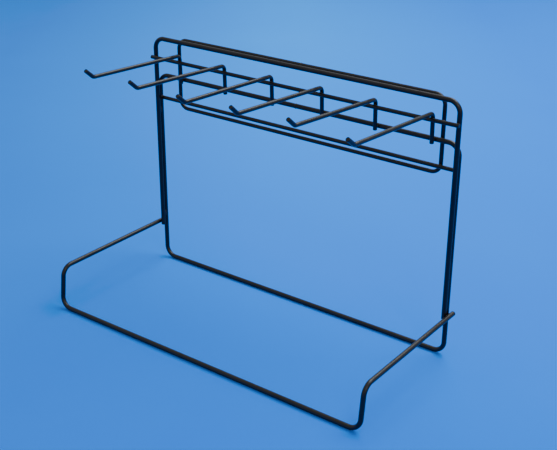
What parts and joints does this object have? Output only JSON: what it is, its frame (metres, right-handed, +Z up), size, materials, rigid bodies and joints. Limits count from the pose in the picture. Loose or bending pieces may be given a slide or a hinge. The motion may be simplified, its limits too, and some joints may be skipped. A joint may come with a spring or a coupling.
{
  "type": "counter-top wire hook display rack",
  "caption": "Counter-top display rack of black coated round wire: a hoop on a back loop, a low U-shaped base, a sign frame behind and a row of upturned product hooks.",
  "frame": {"origin": "middle of the rack's width and depth on the surface it stands on", "axes": "+X along the width with the hook row's larger end margin at the left, +Y to the back away from the hook tips, +Z up"},
  "size_m": [0.462, 0.207, 0.3254],
  "materials": {
    "frame_wire": "semi-gloss black coating on round steel wire, faint orange peel",
    "base_wire": "semi-gloss black coating, scuffed where it meets the counter",
    "rail_wire": "semi-gloss black coating on thinner wire",
    "hook_wire": "semi-gloss black coating, rubbed along the top of the shanks and at the cut tips",
    "welds": "lumpy weld under thin black coating, brownish where the coating is thin"
  },
  "bodies": {
    "root": {"upper_hoop": "frame_wire", "back_loop": "frame_wire", "base_wire": "base_wire", "hook_rail": "rail_wire", "lower_rail": "rail_wire", "sign_frame": "rail_wire", "hook_1": "hook_wire", "hook_2": "hook_wire", "hook_3": "hook_wire", "hook_4": "hook_wire", "hook_5": "hook_wire", "hook_6": "hook_wire", "leg_seam_welds": "welds", "arm_welds": "welds", "hook_rail_end_welds": "welds", "lower_rail_end_welds": "welds", "hook_top_welds": "welds", "hook_bottom_welds": "welds", "sign_frame_upper_welds": "welds", "sign_frame_lower_welds": "welds", "loop_butt_weld": "welds", "sign_frame_butt_weld": "welds"}
  },
  "joints": []
}
